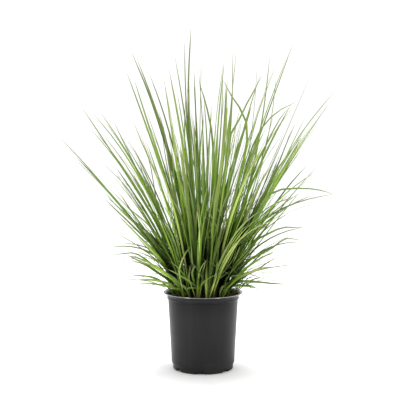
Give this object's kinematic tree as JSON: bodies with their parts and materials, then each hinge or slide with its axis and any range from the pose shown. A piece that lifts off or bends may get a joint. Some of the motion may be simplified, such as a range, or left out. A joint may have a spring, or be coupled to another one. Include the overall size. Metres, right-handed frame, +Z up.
{
  "type": "potted ornamental grass",
  "caption": "A bushy clump of long narrow green leaves that fans out of a round black nursery pot, standing on the pot's flat base.",
  "frame": {"origin": "centre of the pot's flat base, on the surface it stands on", "axes": "+Z up along the pot's axis; -Y towards the viewer of the picture"},
  "size_m": [0.566, 0.53, 0.702],
  "materials": {
    "pot_plastic": "satin black moulded plastic",
    "potting_mix": "loose, dark and moist",
    "grass": "satin leaf"
  },
  "bodies": {
    "root": {"pot": "pot_plastic", "potting_mix": "potting_mix", "shoot_01": "grass", "shoot_02": "grass", "shoot_03": "grass", "shoot_04": "grass", "shoot_05": "grass", "shoot_06": "grass", "shoot_07": "grass", "shoot_08": "grass", "shoot_09": "grass", "shoot_10": "grass", "shoot_11": "grass", "shoot_12": "grass", "shoot_13": "grass", "shoot_14": "grass", "shoot_15": "grass", "shoot_16": "grass", "shoot_17": "grass", "shoot_18": "grass", "shoot_19": "grass", "shoot_20": "grass", "shoot_21": "grass", "shoot_22": "grass", "shoot_23": "grass", "shoot_24": "grass", "shoot_25": "grass", "shoot_26": "grass", "shoot_27": "grass", "shoot_28": "grass", "shoot_29": "grass", "shoot_30": "grass", "shoot_31": "grass", "shoot_32": "grass", "shoot_33": "grass", "shoot_34": "grass", "shoot_35": "grass", "shoot_36": "grass", "shoot_37": "grass", "shoot_38": "grass", "shoot_39": "grass", "shoot_40": "grass", "shoot_41": "grass", "shoot_42": "grass", "shoot_43": "grass", "shoot_44": "grass", "shoot_45": "grass", "shoot_46": "grass", "shoot_47": "grass", "shoot_48": "grass", "shoot_49": "grass", "shoot_50": "grass", "shoot_51": "grass", "shoot_52": "grass", "shoot_53": "grass", "shoot_54": "grass", "shoot_55": "grass", "shoot_56": "grass", "shoot_57": "grass", "shoot_58": "grass"}
  },
  "joints": []
}
